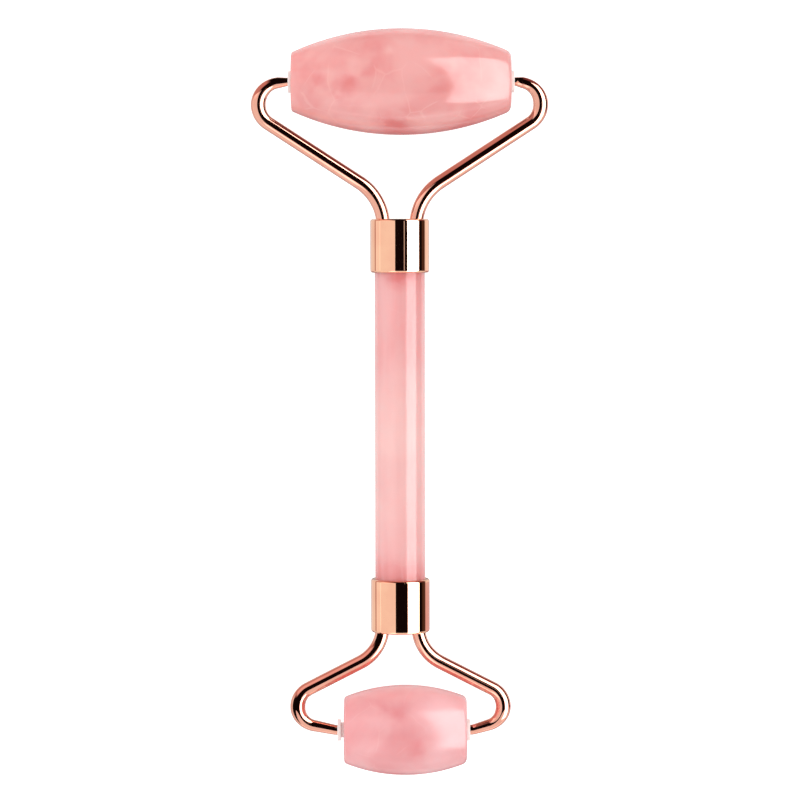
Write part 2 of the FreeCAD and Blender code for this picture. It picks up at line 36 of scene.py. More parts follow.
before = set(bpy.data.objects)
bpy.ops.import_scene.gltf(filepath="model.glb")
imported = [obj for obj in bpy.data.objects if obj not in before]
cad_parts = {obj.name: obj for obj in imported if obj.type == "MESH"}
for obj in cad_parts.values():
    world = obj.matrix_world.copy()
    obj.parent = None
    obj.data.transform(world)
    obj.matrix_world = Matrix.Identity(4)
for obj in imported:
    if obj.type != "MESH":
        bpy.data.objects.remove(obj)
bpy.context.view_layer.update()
MM = 0.001

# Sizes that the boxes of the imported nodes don't give, in millimetres and degrees. Of a head:
# towards: 1 if it is at the handle's +Y end, -1 if it is at the other
# rims, stone_end: rounding of the stone's two rims, and diameter of its end faces
# neck: how much of each bush's sleeve shows beside the stone
# spacing: between the two arms where they leave the ferrule
# shoulder, bend: radii of an arm's first and second bends, at the wire's centre line
# slope: angle of the straight run between them from the roller's axis
# bend_offset, bend_drop: place of the second bend's centre, from the middle and from the axis
# wire, wire_bend, wire_neck, journal: the wire's diameter up to the second bend, half-way round
#     it, just after it, and in the bush
HEADS = {
    "large": {
        "towards": 1, "rims": {"left": 0.5, "right": 1.5}, "stone_end": 11.3,
        "neck": {"left": 0.0, "right": 0.0},
        "spacing": 6.36, "shoulder": 10.1, "slope": 33.0, "bend_offset": 23.0,
        "bend_drop": 4.41, "bend": 4.27,
        "wire": 2.66, "wire_bend": 2.92, "wire_neck": 2.15, "journal": 1.65,
    },
    "small": {
        "towards": -1, "rims": {"left": 0.8, "right": 1.2}, "stone_end": 12.8,
        "neck": {"left": 0.65, "right": 0.0},
        "spacing": 6.96, "shoulder": 7.9, "slope": 27.1, "bend_offset": 16.2,
        "bend_drop": 4.65, "bend": 3.85,
        "wire": 2.68, "wire_bend": 2.95, "wire_neck": 2.25, "journal": 1.95,
    },
}
SIDES = {"left": -1, "right": 1}
END_WALL = 3.0
ARM_STICKOUT = 0.7
ARM_HOLE_GAP = 0.02
FERRULE_BORE = 9.9
FERRULE_EDGE = 0.45
MOUTH_CHAMFER = 0.15
ROD_CHAMFER = 0.4
TIP_BEND = 3.0
JOURNAL_LENGTH = 4.2
FLANGE = 0.65
FLANGE_EDGE = 0.15
SLEEVE_DIAMETER = 2.9
RUNNING_GAP = 0.05
END_GAP = 0.1

# How finely the meshes are made
SUPPORT = 0.04              # from a rounding to the loop that keeps the flat beside it flat
LONG_SIDE = 6 * SUPPORT     # a shorter side has no room for such loops
FACE_INSET = 1.0            # from the ferrule's bore in to the ring where its flat faces start
ON_AXIS = 1e-9
SHARP = math.radians(30)
ROUNDING_STEPS = 10
CROWN_STEPS = 120
TURNED_SEGMENTS = 192
BUSH_SEGMENTS = 96
WIRE_SEGMENTS = 64
BEND_STEP = 3.0
TIP_BEND_STEP = 2.0


# Mesh building

def mesh_piece(name, points, faces, material):
    """An object from points in millimetres, smooth except at its sharp edges."""
    mesh = bpy.data.meshes.new(name)
    mesh.from_pydata([Vector(point) * MM for point in points], [], faces)
    mesh.validate()
    mesh.shade_smooth()
    mesh.set_sharp_from_angle(angle=SHARP)
    mesh.materials.append(material)
    piece = bpy.data.objects.new(name, mesh)
    bpy.context.scene.collection.objects.link(piece)
    return piece


pieces = {}


def finish_piece(piece, body, node):
    """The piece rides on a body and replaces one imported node."""
    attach(piece, body)
    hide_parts(node)
    pieces[piece.name] = piece


def ring_faces(first, second, count):
    """Quads between two rings of points, given where each ring starts."""
    faces = []
    for index in range(count):
        following = (index + 1) % count
        faces.append((first + index, first + following, second + following, second + index))
    return faces


def arc(centre, start, end, steps=ROUNDING_STEPS):
    """Points of an arc about a centre from one point to another, by the shorter way."""
    first, last = start - centre, end - centre
    bearing = math.atan2(first.y, first.x)
    sweep = (math.atan2(last.y, last.x) - bearing + math.pi) % (2 * math.pi) - math.pi
    points = []
    for index in range(steps + 1):
        angle = bearing + sweep * index / steps
        points.append(centre + Vector((math.cos(angle), math.sin(angle))) * first.length)
    return points


def fillet(corner, before, after, radius):
    """Points of a rounding at a corner of a profile, tangent to both of its sides."""
    corner = Vector(corner)
    to_before = (Vector(before) - corner).normalized()
    to_after = (Vector(after) - corner).normalized()
    half = to_before.angle(to_after) / 2
    reach = radius / math.tan(half)
    middle = corner + (to_before + to_after).normalized() * (radius / math.sin(half))
    return arc(middle, corner + to_before * reach, corner + to_after * reach)


def supported(start, end):
    """Two points on a straight side, just inside its ends."""
    start, end = Vector(start), Vector(end)
    along = (end - start).normalized() * SUPPORT
    return [start + along, end - along]


def profile(corners, closed=True):
    """A profile from (along, radius, rounding) corners, with supports beside each rounding."""
    points = []
    count = len(corners)
    for index, (along, radius, rounding) in enumerate(corners):
        before = corners[index - 1][:2]
        after = corners[(index + 1) % count][:2]
        if rounding:
            points += fillet((along, radius), before, after, rounding)
        else:
            points.append(Vector((along, radius)))
    full = []
    for index, point in enumerate(points):
        following = points[(index + 1) % len(points)]
        full.append(point)
        last = index == len(points) - 1
        if (following - point).length > LONG_SIDE and (closed or not last):
            full += supported(point, following)
    return full


def lathe_point(centre, axis, along, radius, angle):
    """A point on a surface turned about X or Y through a centre."""
    side, up = radius * math.cos(angle), radius * math.sin(angle)
    if axis == "X":
        return centre + Vector((along, side, up))
    return centre + Vector((up, along, side))


def lathe(name, outline, centre, axis, material, closed=True, segments=TURNED_SEGMENTS):
    """A profile of (along, radius) points turned right round. An open profile's first and last
    points are on the axis."""
    points, faces, rings = [], [], []
    for along, radius in outline:
        rings.append(len(points))
        if radius < ON_AXIS:
            points.append(lathe_point(centre, axis, along, 0, 0))
            continue
        for step in range(segments):
            angle = 2 * math.pi * step / segments
            points.append(lathe_point(centre, axis, along, radius, angle))
    pairs = list(zip(rings, rings[1:]))
    if closed:
        pairs.append((rings[-1], rings[0]))
        for first, second in pairs:
            faces += ring_faces(second, first, segments)
        return mesh_piece(name, points, faces, material)
    for first, second in pairs[1:-1]:
        faces += ring_faces(second, first, segments)
    for step in range(segments):
        following = (step + 1) % segments
        faces.append((rings[0], rings[1] + step, rings[1] + following))
        faces.append((rings[-1], rings[-2] + following, rings[-2] + step))
    return mesh_piece(name, points, faces, material)


# Bent wire

def outer_tangent(centre, radius, next_centre, next_radius):
    """Points where one straight line touches two bends that turn the same way."""
    apart = next_centre - centre
    bearing = math.atan2(apart.y, apart.x)
    lean = math.acos((radius - next_radius) / apart.length)
    normal = Vector((math.cos(bearing - lean), math.sin(bearing - lean)))
    return centre + normal * radius, next_centre + normal * next_radius


def straight(start, end):
    """Points of a straight run, with supports near both ends."""
    return [start, *supported(start, end), end]


def bend(centre, start, end, step=BEND_STEP):
    """Points of a bend in the wire, with about this many degrees between them."""
    turn = math.degrees((start - centre).angle(end - centre))
    return arc(centre, start, end, max(2, round(turn / step)))


def arm_plan(head, start_length, reach):
    """Centre line of an arm on the +X side, in millimetres from the ferrule's closed end: one
    list of points for each run, and the shoulder bend's centre. Its journal starts this length
    out from the middle, and the roller's axis lies this reach away."""
    spec = HEADS[head]
    slope = math.radians(spec["slope"])
    centre = Vector((spec["bend_offset"], reach - spec["bend_drop"]))
    out = Vector((math.cos(slope), math.sin(slope)))
    away = Vector((math.sin(slope), -math.cos(slope)))
    bend_start = centre + away * spec["bend"]
    shoulder_x = spec["spacing"] / 2 + spec["shoulder"]
    run = (bend_start.x + away.x * spec["shoulder"] - shoulder_x) / out.x
    shoulder_end = bend_start - out * run
    shoulder = shoulder_end + away * spec["shoulder"]
    tip_bend = Vector((start_length, reach - TIP_BEND))
    bend_end, tip_start = outer_tangent(centre, spec["bend"], tip_bend, TIP_BEND)
    middle = centre + Vector((spec["bend"], 0))
    foot = Vector((spec["spacing"] / 2, -END_WALL - ARM_STICKOUT))
    journal = Vector((start_length, reach))
    shoulder_start = Vector((foot.x, shoulder.y))
    runs = [
        straight(foot, shoulder_start),
        bend(shoulder, shoulder_start, shoulder_end),
        straight(shoulder_end, bend_start),
        bend(centre, bend_start, middle),
        bend(centre, middle, bend_end),
        straight(bend_end, tip_start),
        bend(tip_bend, tip_start, journal, TIP_BEND_STEP),
        straight(journal, journal - Vector((JOURNAL_LENGTH, 0))),
    ]
    return runs, shoulder


def run_length(points):
    """Length of a line through these points."""
    return sum((after - before).length for before, after in zip(points, points[1:]))


def smooth_between(stations, place):
    """A value that passes smoothly through (place, value) stations."""
    if place <= stations[0][0]:
        return stations[0][1]
    for (start, value), (end, next_value) in zip(stations, stations[1:]):
        if place <= end:
            share = (place - start) / (end - start)
            share = share * share * (3 - 2 * share)
            return value + (next_value - value) * share
    return stations[-1][1]


def tube(name, line, radii, height, material):
    """A round bar along a flat line of points, with a radius at each point."""
    points, faces = [], []
    for index, (point, radius) in enumerate(zip(line, radii)):
        before = line[max(index - 1, 0)]
        after = line[min(index + 1, len(line) - 1)]
        if 0 < index < len(line) - 1:
            tangent = (point - before).normalized() + (after - point).normalized()
        else:
            tangent = after - before
        tangent.normalize()
        side = Vector((tangent.y, -tangent.x, 0))
        middle = Vector((point.x, point.y, height))
        for step in range(WIRE_SEGMENTS):
            angle = 2 * math.pi * step / WIRE_SEGMENTS
            spoke = side * math.cos(angle) + Vector((0, 0, 1)) * math.sin(angle)
            points.append(middle + spoke * radius)
    rings = range(0, len(points), WIRE_SEGMENTS)
    for first, second in zip(rings, rings[1:]):
        faces += ring_faces(first, second, WIRE_SEGMENTS)
    faces.append(tuple(reversed(range(WIRE_SEGMENTS))))
    faces.append(tuple(range(rings[-1], len(points))))
    return mesh_piece(name, points, faces, material)


def arm(name, head, side, end_y, axis_y, height, start_length, material):
    """One bent wire: even up to its end bend, swelling half-way round it, thinner at its tip."""
    spec = HEADS[head]
    runs, shoulder = arm_plan(head, start_length, abs(axis_y - end_y))
    lengths = [run_length(run) for run in runs]
    at = [sum(lengths[:index]) for index in range(len(runs) + 1)]
    stations = [(at[3], spec["wire"]), (at[4], spec["wire_bend"]), (at[5], spec["wire_neck"]),
                (at[7], spec["journal"])]
    line, place = [], []
    for index, run in enumerate(runs):
        travelled = at[index]
        for number, point in enumerate(run):
            if number:
                travelled += (point - run[number - 1]).length
            if number or not index:
                line.append(point)
                place.append(travelled)
    radii = [smooth_between(stations, travelled) / 2 for travelled in place]
    placed = [Vector((SIDES[side] * point.x, end_y + spec["towards"] * point.y))
              for point in line]
    return tube(name, placed, radii, height, material)


# Ferrule

def hole_ring(head, shoulder, hand, share, floor=None):
    """Points round an arm's hole in the closed end, as (across, depth, up): at a share of the way
    from where the arm's bend starts to the face, or level with the floor inside."""
    spec = HEADS[head]
    radius = spec["wire"] / 2 + ARM_HOLE_GAP
    ring = []
    for step in range(WIRE_SEGMENTS):
        angle = 2 * math.pi * step / WIRE_SEGMENTS
        offset = spec["shoulder"] - radius * math.cos(angle)
        turn = math.asin(-shoulder.y / offset) * share
        depth = floor or -shoulder.y - offset * math.sin(turn)
        across = shoulder.x - offset * math.cos(turn)
        ring.append(Vector((hand * across, depth, radius * math.sin(angle))))
    if hand < 0:
        ring.reverse()
    return ring


def ferrule(name, head, low, high, start_length, reach, material):
    """Turned cup whose closed end has two holes that follow the bent arms."""
    spec = HEADS[head]
    length = (high.y - low.y) / MM
    outer = (high.x - low.x) / MM / 2
    bore = FERRULE_BORE / 2
    outline = profile([
        (0, bore - FACE_INSET, 0), (0, outer, FERRULE_EDGE), (length, outer, FERRULE_EDGE),
        (length, bore + MOUTH_CHAMFER, 0), (length - MOUTH_CHAMFER, bore, 0),
        (END_WALL, bore, 0), (END_WALL, bore - FACE_INSET, 0),
    ], closed=False)
    end_y = (high.y if spec["towards"] > 0 else low.y) / MM
    centre = Vector((0, end_y, (low.z + high.z) / MM / 2))

    def place(across, depth, up):
        """A point of the ferrule, from its own directions to the object's."""
        return centre + Vector((across, -spec["towards"] * depth, up))

    points, faces = [], []
    for depth, radius in outline:
        for step in range(TURNED_SEGMENTS):
            angle = 2 * math.pi * step / TURNED_SEGMENTS
            points.append(place(radius * math.sin(angle), depth, radius * math.cos(angle)))
    turned = range(0, len(points), TURNED_SEGMENTS)
    for first, second in zip(turned, turned[1:]):
        faces += ring_faces(first, second, TURNED_SEGMENTS)

    shoulder = arm_plan(head, start_length, reach)[1]
    face_loops = [range(TURNED_SEGMENTS)]
    floor_loops = [range(turned[-1], len(points))]
    for hand in SIDES.values():
        rings = [hole_ring(head, shoulder, hand, share) for share in (1, 0.5, 0)]
        rings.append(hole_ring(head, shoulder, hand, 0, floor=END_WALL))
        starts = []
        for ring in rings:
            starts.append(len(points))
            points += [place(*point) for point in ring]
        for first, second in zip(starts, starts[1:]):
            faces += ring_faces(second, first, WIRE_SEGMENTS)
        face_loops.append(range(starts[0], starts[0] + WIRE_SEGMENTS))
        floor_loops.append(range(starts[-1], starts[-1] + WIRE_SEGMENTS))
    for loops in (face_loops, floor_loops):
        order = [index for loop in loops for index in loop]
        flat = [[Vector((points[index].x, points[index].z, 0)) for index in loop]
                for loop in loops]
        for triangle in tessellate_polygon(flat):
            faces.append(tuple(order[corner] for corner in triangle))
    return outward(mesh_piece(name, points, faces, material))


def outward(piece):
    """The same closed piece, with all its faces turned outwards."""
    work = bmesh.new()
    work.from_mesh(piece.data)
    bmesh.ops.recalc_face_normals(work, faces=work.faces)
    work.to_mesh(piece.data)
    work.free()
    piece.data.set_sharp_from_angle(angle=SHARP)
    return piece


# Stones and bushes

def stone_outline(length, middle, end, rims, bore):
    """Half-section of a barrel: one crown arc from end to end, rounded rims, a bore."""
    half = length / 2
    crown = (half ** 2 + (middle - end) ** 2) / (2 * (middle - end))
    centre = Vector((0, middle - crown))
    tangents, roundings = {}, {}
    for side, sign in SIDES.items():
        rim = rims[side]
        across = half - rim
        up = centre.y + math.sqrt((crown - rim) ** 2 - across ** 2)
        rim_centre = Vector((sign * across, up))
        on_crown = centre + (rim_centre - centre).normalized() * crown
        roundings[side] = arc(rim_centre, on_crown, rim_centre + Vector((sign * rim, 0)))
        tangents[side] = on_crown
    crown_points = arc(centre, tangents["left"], tangents["right"], CROWN_STEPS)[1:-1]
    left, right = list(reversed(roundings["left"])), roundings["right"]
    foot_left, foot_right = Vector((-half, bore)), Vector((half, bore))
    return [
        foot_left, *supported(foot_left, left[0]), *left, *crown_points, *right,
        *supported(right[-1], foot_right), foot_right, *supported(foot_right, foot_left),
    ]


def roller(name, head, low, high, material):
    """A stone barrel, turned about its axis."""
    spec = HEADS[head]
    centre = (low + high) / 2 / MM
    outline = stone_outline((high.x - low.x) / MM, (high.z - low.z) / MM / 2,
                            spec["stone_end"] / 2, spec["rims"], SLEEVE_DIAMETER / 2)
    return lathe(name, outline, centre, "X", material)


def bush(name, head, side, low, high, material):
    """A flanged sleeve; its flange is on the outer side of the roller's end."""
    spec = HEADS[head]
    sign = SIDES[side]
    bore = spec["journal"] / 2 + RUNNING_GAP
    length = (high.x - low.x) / MM
    flange = (high.z - low.z) / MM / 2
    face = high.x / MM if sign > 0 else low.x / MM
    centre = Vector((face, (low.y + high.y) / MM / 2, (low.z + high.z) / MM / 2))
    sleeve = SLEEVE_DIAMETER / 2
    neck = spec["neck"][side]
    corners = [(0, bore, 0), (0, flange, FLANGE_EDGE), (-FLANGE, flange, 0),
               (-FLANGE, sleeve, 0)]
    if neck:
        corners.append((-FLANGE - neck, sleeve, 0))
    corners += [(-length, sleeve, 0), (-length, bore, 0)]
    outline = profile([(sign * along, radius, rounding) for along, radius, rounding in corners])
    return outward(lathe(name, outline, centre, "X", material, segments=BUSH_SEGMENTS))


# Materials

NOISE_SPAN = (0.3, 0.7)     # where most values of a noise lie
MIX_SHARE, MIX_FIRST, MIX_SECOND, MIX_RESULT = 0, 6, 7, 2   # a Mix node's sockets for colours


class Nodes:
    """Short ways to add the nodes of a material or of the world."""

    def __init__(self, tree):
        self.nodes = tree.nodes
        self.links = tree.links

    def node(self, kind, inputs=(), **settings):
        """A new node, with its settings and its inputs by name or number."""
        made = self.nodes.new("ShaderNode" + kind)
        for name, value in settings.items():
            setattr(made, name, value)
        for name, value in dict(inputs).items():
            if isinstance(value, bpy.types.NodeSocket):
                self.links.new(value, made.inputs[name])
            else:
                made.inputs[name].default_value = value
        return made

    def math(self, operation, first, second=0.0, clamp=False):
        """One operation on two values."""
        made = self.node("Math", {0: first, 1: second}, operation=operation, use_clamp=clamp)
        return made.outputs[0]

    def vector(self, operation, first, second):
        """One operation on two vectors."""
        made = self.node("VectorMath", {0: first, 1: second}, operation=operation)
        is_value = operation in ("DISTANCE", "DOT_PRODUCT")
        return made.outputs["Value" if is_value else "Vector"]

    def range(self, value, low, high, to_low=0.0, to_high=1.0, ends="SMOOTHSTEP"):
        """A value moved from one range to another, with soft ends unless they are LINEAR."""
        made = self.node("MapRange", {"Value": value, "From Min": low, "From Max": high,
                                      "To Min": to_low, "To Max": to_high},
                         interpolation_type=ends)
        return made.outputs["Result"]

    def mix(self, share, first, second):
        """A colour between two others."""
        made = self.node("Mix", {MIX_SHARE: share, MIX_FIRST: first, MIX_SECOND: second},
                         data_type="RGBA")
        return made.outputs[MIX_RESULT]


class Shader(Nodes):
    """A material with one Principled shader, and short ways to feed it."""

    def __init__(self, name):
        self.material = bpy.data.materials.new(name)
        self.material.use_nodes = True
        super().__init__(self.material.node_tree)
        self.surface = self.nodes["Principled BSDF"]
        self.place = self.node("TexCoord").outputs["Object"]

    def set(self, **values):
        """Fixed values of the Principled shader, by socket name with _ for each space."""
        for name, value in values.items():
            self.surface.inputs[name.replace("_", " ")].default_value = value

    def feed(self, name, socket):
        """Link a socket to one of the Principled shader's inputs."""
        self.links.new(socket, self.surface.inputs[name])

    def noise(self, scale, detail=2.0, roughness=0.5, place=None, distortion=0.0):
        """A noise value; scale is in repeats to the metre."""
        made = self.node("TexNoise", {"Vector": place or self.place, "Scale": scale,
                                      "Detail": detail, "Roughness": roughness,
                                      "Distortion": distortion})
        return made.outputs["Fac"]

    def shifted(self, offset):
        """The place, moved, so that a second pattern differs from the first."""
        return self.vector("ADD", self.place, offset)

    def bump(self, height, distance):
        """Surface relief of this height in metres."""
        made = self.node("Bump", {"Height": height, "Distance": distance, "Strength": 1.0})
        self.feed("Normal", made.outputs["Normal"])


def colour(red, green, blue):
    """A colour given as 0-255 screen values, as the shader's linear ones."""
    def linear(value):
        value /= 255
        return value / 12.92 if value <= 0.04045 else ((value + 0.055) / 1.055) ** 2.4
    return (linear(red), linear(green), linear(blue), 1.0)


SWAY = 7.0                              # how far noise pushes the clouds' edges, in millimetres
CRACK_SWAY = 0.25                       # the share of it that bends the cracks
CRACK_WIDTH = 0.025                     # in sizes of a grain
CRACK_SHIFT = (0.31, 0.17, 0.05)        # so that the cracks' patches differ from the milk's


def quartz(name, base, pale, deep, offset, drift, cracks, clouds_and_painted_light, fibres=0.0,
           polish=(0.11, 0.17)):
    """Clouded rose quartz: milky pink with paler and deeper drifts, healed cracks and a polish.
    Drift is how far the milk wanders in tone, cracks how plain they are, and fibres how far
    streaks along Y wander. Clouds and painted light are (x, y, z, size, strength) in
    millimetres, deeper for a strength above 0: besides the stone's own clouds they hold painted
    shade and painted highlights. Polish is the range of the roughness."""
    shader = Shader(name)
    shifted = shader.shifted(offset)
    warp = shader.node("TexNoise", {"Vector": shifted, "Scale": 160.0, "Detail": 3.0})
    centred = shader.vector("SUBTRACT", warp.outputs["Color"], (0.5, 0.5, 0.5))

    def swayed(share):
        """The place, pushed about by a noise."""
        sway = shader.node("VectorMath", {0: centred, "Scale": SWAY * MM * share},
                           operation="SCALE")
        return shader.vector("ADD", shader.place, sway.outputs["Vector"])

    warped = swayed(1.0)
    milk = shader.noise(100.0, detail=3.0, place=shifted, distortion=0.4)
    tone = shader.range(milk, *NOISE_SPAN, -drift, drift)
    if fibres:
        drawn = shader.vector("MULTIPLY", shifted, (1.0, 0.06, 1.0))
        streak = shader.range(shader.noise(700.0, place=drawn), *NOISE_SPAN, -fibres, fibres)
        tone = shader.math("ADD", tone, streak)
    # Listed spots deepen or pale the tone: the stone's own clouds, and painted shade and painted
    # highlights
    for x, y, z, size, strength in clouds_and_painted_light:
        distance = shader.vector("DISTANCE", warped, Vector((x, y, z)) * MM)
        tone = shader.math("ADD", tone, shader.range(distance, 0.0, size * MM, strength, 0.0))
    deeper = shader.math("MAXIMUM", tone, 0.0, clamp=True)
    paler = shader.math("MULTIPLY", tone, -1.0, clamp=True)
    shade = shader.mix(deeper, base, deep)
    shade = shader.mix(paler, shade, pale)

    # Fine healed cracks: faces between grains, seen here and there as thin pale lines
    grains = shader.node("TexVoronoi", {"Vector": swayed(CRACK_SWAY), "Scale": 130.0},
                         feature="DISTANCE_TO_EDGE")
    line = shader.range(grains.outputs["Distance"], 0.0, CRACK_WIDTH, 1.0, 0.0)
    somewhere = shader.noise(140.0, detail=1.0, place=shader.shifted(CRACK_SHIFT))
    patch = shader.range(somewhere, 0.48, 0.60)
    healed = shader.math("MULTIPLY", line, shader.math("MULTIPLY", patch, cracks))
    shader.feed("Base Color", shader.mix(healed, shade, pale))

    wear = shader.noise(420.0, detail=3.0)
    shader.feed("Roughness", shader.range(wear, 0.35, 0.7, *polish))
    shader.bump(shader.noise(120.0, detail=1.0, roughness=0.4, place=shifted), 0.10 * MM)
    shader.set(IOR=1.54, Subsurface_Weight=0.6, Subsurface_Scale=1.0,
               Subsurface_Radius=(4.0 * MM, 1.6 * MM, 1.5 * MM))
    return shader.material


def rose_gold(name, base, deep):
    """Mirror-polished plating, with faint buffing marks and slight drifts of colour."""
    shader = Shader(name)
    drift = shader.range(shader.noise(230.0), *NOISE_SPAN)
    shader.feed("Base Color", shader.mix(drift, base, deep))
    buffing = shader.noise(900.0, detail=4.0, roughness=0.6)
    shader.feed("Roughness", shader.range(buffing, 0.35, 0.75, 0.02, 0.045))
    shader.bump(shader.noise(700.0), 0.0007 * MM)
    shader.set(Metallic=1.0)
    return shader.material


def nylon():
    """Slightly translucent white moulded plastic."""
    shader = Shader("white_nylon")
    cloud = shader.range(shader.noise(900.0), *NOISE_SPAN)
    shader.feed("Base Color", shader.mix(cloud, colour(250, 244, 240), colour(243, 234, 229)))
    grain = shader.noise(2500.0, detail=3.0)
    shader.feed("Roughness", shader.range(grain, *NOISE_SPAN, 0.28, 0.4))
    shader.bump(shader.noise(3500.0), 0.004 * MM)
    shader.set(IOR=1.53, Subsurface_Weight=0.2, Subsurface_Scale=1.0,
               Subsurface_Radius=(1.0 * MM, 0.8 * MM, 0.7 * MM))
    return shader.material


def epoxy():
    """Cured adhesive inside the ferrules."""
    shader = Shader("cured_adhesive")
    cloud = shader.range(shader.noise(600.0, detail=3.0), *NOISE_SPAN)
    shader.feed("Base Color", shader.mix(cloud, colour(236, 222, 190), colour(222, 202, 164)))
    shader.feed("Roughness", shader.range(shader.noise(1500.0), *NOISE_SPAN, 0.12, 0.3))
    shader.set(IOR=1.5, Subsurface_Weight=0.3, Subsurface_Scale=1.0,
               Subsurface_Radius=(0.8 * MM, 0.7 * MM, 0.5 * MM))
    return shader.material


def braze():
    """Dull solidified filler metal."""
    shader = Shader("braze_filler")
    grain = shader.range(shader.noise(1800.0, detail=5.0, roughness=0.65), *NOISE_SPAN)
    shader.feed("Base Color", shader.mix(grain, colour(214, 206, 188), colour(168, 156, 134)))
    shader.feed("Roughness", shader.range(grain, 0.0, 1.0, 0.35, 0.55))
    shader.bump(grain, 0.02 * MM)
    shader.set(Metallic=1.0)
    return shader.material


large_quartz = quartz(
    "large_roller_quartz", colour(237, 168, 165), colour(246, 194, 190), colour(226, 128, 127),
    offset=(0.013, 0.027, 0.041), drift=0.35, cracks=0.3, clouds_and_painted_light=[
        (-10.5, 60.5, 20, 4.0, 0.9), (-14.5, 61.5, 19, 2.6, 0.5), (-6.0, 64.5, 20, 2.4, 0.4),
        (-5.5, 68.5, 17, 3.5, 0.35), (-0.5, 54.0, 17, 5.0, 0.7), (7.0, 63.5, 20, 4.0, 0.35),
        (-9.2, 65.5, 20, 3.0, -0.5), (-13.5, 57.5, 18, 4.0, -0.4), (-2.0, 67.0, 19, 2.0, -0.5),
        # Painted shade: these three deeper spots darken the large stone along its side towards
        # the handle
        (-11.0, 52.5, 11, 8.0, 0.6), (0.0, 51.0, 11, 8.0, 0.7), (11.0, 53.0, 12, 8.0, 0.6),
        # Painted highlight: this paler spot lightens the large stone's right end, under the
        # softbox patch
        (20.0, 62.5, 17, 7.0, -0.8)])
small_quartz = quartz(
    "small_roller_quartz", colour(237, 172, 174), colour(246, 194, 196), colour(228, 142, 144),
    offset=(0.057, 0.011, 0.083), drift=0.35, cracks=0.2, polish=(0.19, 0.27), clouds_and_painted_light=[
        (-2.0, -58.5, 17, 4.0, 0.8), (3.0, -66.5, 19, 3.0, 0.5), (-4.0, -70.0, 15, 4.0, 0.3),
        # Painted highlight: the two paler spots at x 9 and 8 lighten the small stone's right
        # side, where the softbox patch lies
        (-1.0, -65.0, 19, 6.0, 0.35), (9.0, -61.0, 15, 9.0, -0.5),
        (8.0, -69.0, 14, 7.0, -0.5)])
handle_quartz = quartz(
    "handle_quartz", colour(237, 177, 176), colour(243, 198, 194), colour(228, 134, 133),
    offset=(0.091, 0.063, 0.019), drift=0.12, cracks=0.1, fibres=0.1, clouds_and_painted_light=[
        # Painted shade: the deeper spots at y 27.5, 22 and -38.5 darken the handle where it goes
        # into the ferrules; the paler ones at y -6 and -22 make its middle paler
        (0.0, 27.5, 10, 8.5, 2.4), (0.0, 22.0, 10, 14.0, 0.15), (0.0, -38.5, 10, 15.0, 1.5),
        (0.0, -6.0, 10, 20.0, -1.0), (0.0, -22.0, 10, 14.0, -0.7)])
ferrule_plating = rose_gold("rose_gold_ferrules", colour(253, 197, 164), colour(250, 189, 158))
wire_plating = rose_gold("rose_gold_wire", colour(241, 178, 156), colour(234, 166, 145))
plastic = nylon()


# Pieces

rod_low, rod_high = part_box("handle_rod")
rod_radius = (rod_high.x - rod_low.x) / MM / 2
rod_half = (rod_high.y - rod_low.y) / MM / 2
rod_side = [(-rod_half, rod_radius - ROD_CHAMFER), (-rod_half + ROD_CHAMFER, rod_radius),
            (rod_half - ROD_CHAMFER, rod_radius), (rod_half, rod_radius - ROD_CHAMFER)]
rod_outline = [Vector((-rod_half, 0)), Vector(rod_side[0]), Vector(rod_side[1]),
               *supported(rod_side[1], rod_side[2]), Vector(rod_side[2]), Vector(rod_side[3]),
               Vector((rod_half, 0))]
handle = lathe("quartz_handle", rod_outline, (rod_low + rod_high) / 2 / MM, "Y",
               handle_quartz, closed=False)
finish_piece(outward(handle), "handle_frame", "handle_rod")

stones = {"large": large_quartz, "small": small_quartz}
for head, spec in HEADS.items():
    stone_low, stone_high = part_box(f"{head}_roller_stone")
    ferrule_low, ferrule_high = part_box(f"{head}_ferrule")
    end_y = (ferrule_high.y if spec["towards"] > 0 else ferrule_low.y) / MM
    axis_y = (stone_low.y + stone_high.y) / MM / 2
    axis_z = (stone_low.z + stone_high.z) / MM / 2
    body = f"{head}_roller"
    piece = roller(f"{head}_quartz_roller", head, stone_low, stone_high, stones[head])
    finish_piece(outward(piece), body, f"{head}_roller_stone")
    starts = {}
    for side in SIDES:
        bush_low, bush_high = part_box(f"{head}_{side}_bush")
        piece = bush(f"{head}_{side}_nylon_bush", head, side, bush_low, bush_high, plastic)
        finish_piece(piece, body, f"{head}_{side}_bush")
        outer_face = bush_high.x if side == "right" else -bush_low.x
        starts[side] = outer_face / MM + END_GAP
        piece = arm(f"{head}_{side}_wire_arm", head, side, end_y, axis_y, axis_z, starts[side],
                    wire_plating)
        finish_piece(outward(piece), "handle_frame", f"{head}_{side}_arm")
    piece = ferrule(f"{head}_gold_ferrule", head, ferrule_low, ferrule_high, starts["left"],
                    abs(axis_y - end_y), ferrule_plating)
    finish_piece(piece, "handle_frame", f"{head}_ferrule")
    for node, material in ((f"{head}_arm_braze", braze()), (f"{head}_ferrule_adhesive", epoxy())):
        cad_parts[node].data.materials.clear()
        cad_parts[node].data.materials.append(material)


# Studio

# The handle's middle, from which the lights and the camera are placed
middle = Vector((0, 0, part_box("handle_rod")[0].z + rod_radius * MM))


def facing(back, up):
    """Rotation of a lamp or camera whose back points one way and whose top is upwards."""
    back = back.normalized()
    right = up.cross(back).normalized()
    return Matrix((right, back.cross(right), back)).transposed().to_quaternion()


